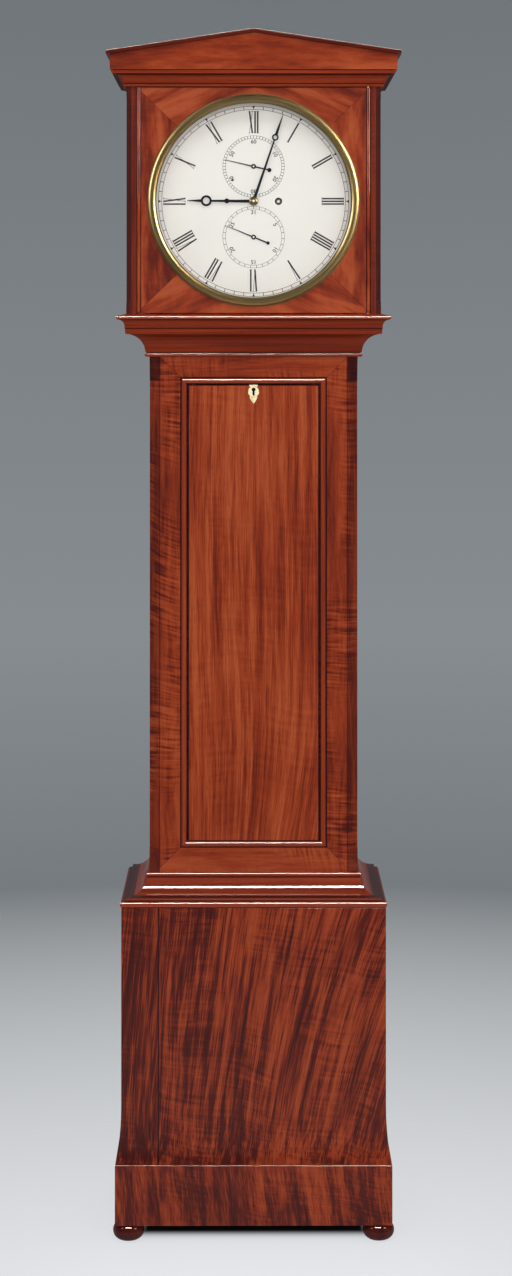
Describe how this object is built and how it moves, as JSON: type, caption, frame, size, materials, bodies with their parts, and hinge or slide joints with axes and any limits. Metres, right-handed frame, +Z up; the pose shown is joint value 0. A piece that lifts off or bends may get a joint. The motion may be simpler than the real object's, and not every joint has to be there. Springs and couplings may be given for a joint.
{
  "type": "regulator clock",
  "caption": "Tall floor-standing regulator clock with a glazed hood, silvered dial, panelled trunk door, weight-driven movement and seconds pendulum.",
  "frame": {"origin": "on the floor, in the middle of the clock's width and depth", "axes": "+X to the right as seen from the front, +Y to the back, +Z up"},
  "size_m": [0.468, 0.2636, 1.92],
  "materials": {
    "mahogany": "French polished",
    "carcase_wood": "plain, unpolished",
    "brass": "lacquered",
    "silvered_brass": "silvered, engraved and waxed",
    "steel": "polished",
    "blued_steel": "blued",
    "glass": "clear",
    "gut": "twisted gut"
  },
  "bodies": {
    "case": {"bun_feet": "mahogany", "base_floor": "carcase_wood", "base_front": "mahogany", "base_sides": "mahogany", "base_back": "carcase_wood", "plinth_moulding": "mahogany", "base_moulding": "mahogany", "backboard": "carcase_wood", "trunk_sides": "mahogany", "trunk_stiles": "mahogany", "trunk_rails": "mahogany", "trunk_door_bead": "mahogany", "trunk_top_moulding": "mahogany", "hood_guides": "carcase_wood", "seatboard": "carcase_wood", "movement_screws": "steel", "front_plate": "brass", "back_plate": "brass", "plate_pillars": "brass", "dial_plate": "silvered_brass", "dial_feet": "steel", "pendulum_cock": "brass", "gut_line": "gut"},
    "trunk_door": {"trunk_door": "mahogany", "escutcheon": "brass", "trunk_lock": "steel"},
    "lock_bolt": {"lock_bolt": "steel"},
    "hood": {"hood_sides": "mahogany", "hood_posts": "mahogany", "hood_base_frame": "mahogany", "hood_cornice": "mahogany", "pediment_boards": "mahogany", "pediment_cap": "mahogany"},
    "hood_door": {"hood_door": "mahogany", "door_bezel": "brass", "door_glass": "glass", "door_pivots": "steel"},
    "centre_arbor": {"centre_wheel": "brass", "minute_hand": "blued_steel", "hand_collet": "brass"},
    "great_wheel": {"great_wheel": "brass"},
    "click": {"click": "steel"},
    "third_arbor": {"third_wheel": "brass"},
    "escape_arbor": {"escape_wheel": "brass", "seconds_hand": "blued_steel"},
    "minute_wheel": {"minute_wheel": "brass"},
    "hour_pipe": {"hour_wheel": "brass", "hour_hand": "blued_steel"},
    "date_arbor": {"date_wheel": "brass", "date_hand": "blued_steel"},
    "barrel": {"barrel": "brass"},
    "weight": {"weight": "brass", "pulley_stirrup": "steel"},
    "pulley": {"pulley": "brass"},
    "pendulum": {"suspension_spring": "steel", "pendulum_rod": "carcase_wood"},
    "pallet_arbor": {"pallets": "steel", "crutch": "steel"},
    "bob": {"pendulum_bob": "brass"},
    "rating_nut": {"rating_nut": "brass"}
  },
  "joints": [
    {"name": "trunk_door_lift", "type": "slide", "parent": "case", "child": "trunk_door", "axis": [0, -1, 0], "range_m": [0, 0.15]},
    {"name": "lock_throw", "type": "slide", "parent": "trunk_door", "child": "lock_bolt", "axis": [0, 0, 1], "range_m": [0, 0.006]},
    {"name": "hood_slide", "type": "slide", "parent": "case", "child": "hood", "axis": [0, -1, 0], "range_m": [0, 0.27]},
    {"name": "hood_door_swing", "type": "hinge", "parent": "hood", "child": "hood_door", "pos_m": [0.183, -0.09775, 1.64925], "axis": [0, 0, 1], "range_deg": [0, 100]},
    {"name": "minute_turn", "type": "hinge", "parent": "case", "child": "centre_arbor", "pos_m": [0, 0, 1.64925], "axis": [0, 1, 0], "continuous": true},
    {"name": "great_turn", "type": "hinge", "parent": "case", "child": "great_wheel", "pos_m": [0.04, -0.0345, 1.64925], "axis": [0, 1, 0], "continuous": true},
    {"name": "click_lift", "type": "hinge", "parent": "great_wheel", "child": "click", "pos_m": [0.03163, -0.03175, 1.66719], "axis": [0, -1, 0], "range_deg": [0, 12], "stiffness_Nm_per_rad": 0.002},
    {"name": "third_turn", "type": "hinge", "parent": "case", "child": "third_arbor", "pos_m": [-0.00497, 0, 1.67807], "axis": [0, 1, 0], "continuous": true},
    {"name": "seconds_turn", "type": "hinge", "parent": "case", "child": "escape_arbor", "pos_m": [0, 0, 1.70525], "axis": [0, 1, 0], "continuous": true},
    {"name": "minute_wheel_turn", "type": "hinge", "parent": "case", "child": "minute_wheel", "pos_m": [-0.02, -0.047, 1.64925], "axis": [0, 1, 0], "continuous": true},
    {"name": "hour_turn", "type": "hinge", "parent": "case", "child": "hour_pipe", "pos_m": [0, -0.05, 1.64925], "axis": [0, 1, 0], "continuous": true},
    {"name": "date_turn", "type": "hinge", "parent": "case", "child": "date_arbor", "pos_m": [0, -0.05, 1.59165], "axis": [0, 1, 0], "continuous": true},
    {"name": "barrel_wind", "type": "hinge", "parent": "case", "child": "barrel", "pos_m": [0.04, -0.0159, 1.64925], "axis": [0, 1, 0], "range_deg": [-3730, 2010]},
    {"name": "weight_lift", "type": "slide", "parent": "case", "child": "weight", "axis": [0, 0, 1], "range_m": [-0.683, 0.368], "deforming": ["gut_line"]},
    {"name": "pulley_turn", "type": "hinge", "parent": "weight", "child": "pulley", "pos_m": [0.04, -0.0159, 1.12875], "axis": [0, 1, 0], "range_deg": [-1880, 1020]},
    {"name": "pendulum_swing", "type": "hinge", "parent": "case", "child": "pendulum", "pos_m": [0, 0.045, 1.73636], "axis": [0, 1, 0], "range_deg": [-3, 3]},
    {"name": "pallet_rock", "type": "hinge", "parent": "case", "child": "pallet_arbor", "pos_m": [0, 0, 1.73636], "axis": [0, 1, 0], "range_deg": [-3, 3]},
    {"name": "bob_lift", "type": "slide", "parent": "pendulum", "child": "bob", "axis": [0, 0, 1], "range_m": [-0.00597, 0.00597]},
    {"name": "nut_turn", "type": "hinge", "parent": "bob", "child": "rating_nut", "pos_m": [0, 0.045, 0.65086], "axis": [0, 0, 1], "range_deg": [-2150, 2150]}
  ],
  "couplings": [
    {"joint": "great_turn", "follows": "minute_turn", "ratio": -0.083333},
    {"joint": "third_turn", "follows": "minute_turn", "ratio": -8},
    {"joint": "seconds_turn", "follows": "minute_turn", "ratio": 60},
    {"joint": "minute_wheel_turn", "follows": "minute_turn", "ratio": -0.33333},
    {"joint": "hour_turn", "follows": "minute_turn", "ratio": 0.083333},
    {"joint": "date_turn", "follows": "minute_turn", "ratio": 0.0013441},
    {"joint": "barrel_wind", "follows": "weight_lift", "rad_per_m": 95.238},
    {"joint": "pulley_turn", "follows": "weight_lift", "rad_per_m": 47.619},
    {"joint": "pallet_rock", "follows": "pendulum_swing", "ratio": 1},
    {"joint": "nut_turn", "follows": "bob_lift", "rad_per_m": 6283.2}
  ]
}
